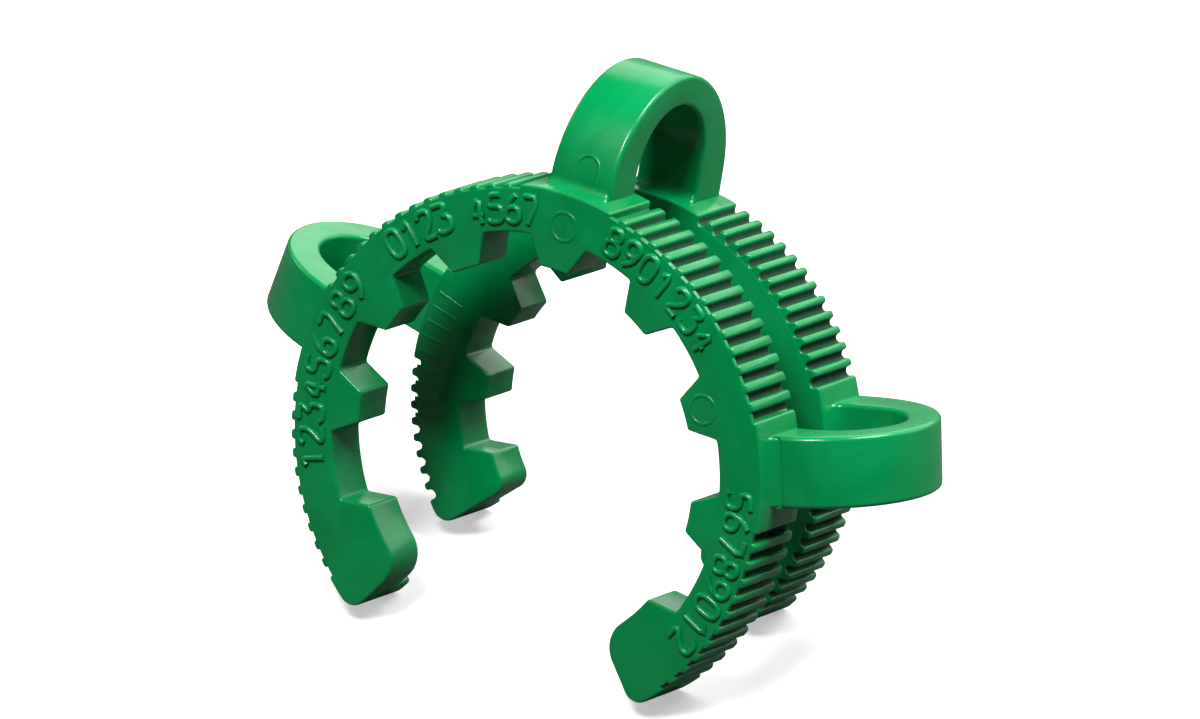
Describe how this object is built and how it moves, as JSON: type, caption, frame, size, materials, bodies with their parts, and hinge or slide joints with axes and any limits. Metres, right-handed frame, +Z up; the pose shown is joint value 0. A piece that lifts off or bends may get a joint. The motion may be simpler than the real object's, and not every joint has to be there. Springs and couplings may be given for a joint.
{
  "type": "ground glass joint clip",
  "caption": "One-piece plastic clip of two toothed open rings joined by three loops, which snaps over a conical glass joint and holds its socket and cone together.",
  "frame": {"origin": "on the bench under the middle of the clip, between its four feet", "axes": "+X across the clip, +Y along the joint from the large ring towards the small one, +Z up, with the mouth downwards"},
  "size_m": [0.058, 0.0293, 0.0422],
  "materials": {
    "green_plastic": "semi-gloss moulded acetal, opaque green"
  },
  "bodies": {
    "root": {"joint_clip": "green_plastic"}
  },
  "joints": []
}
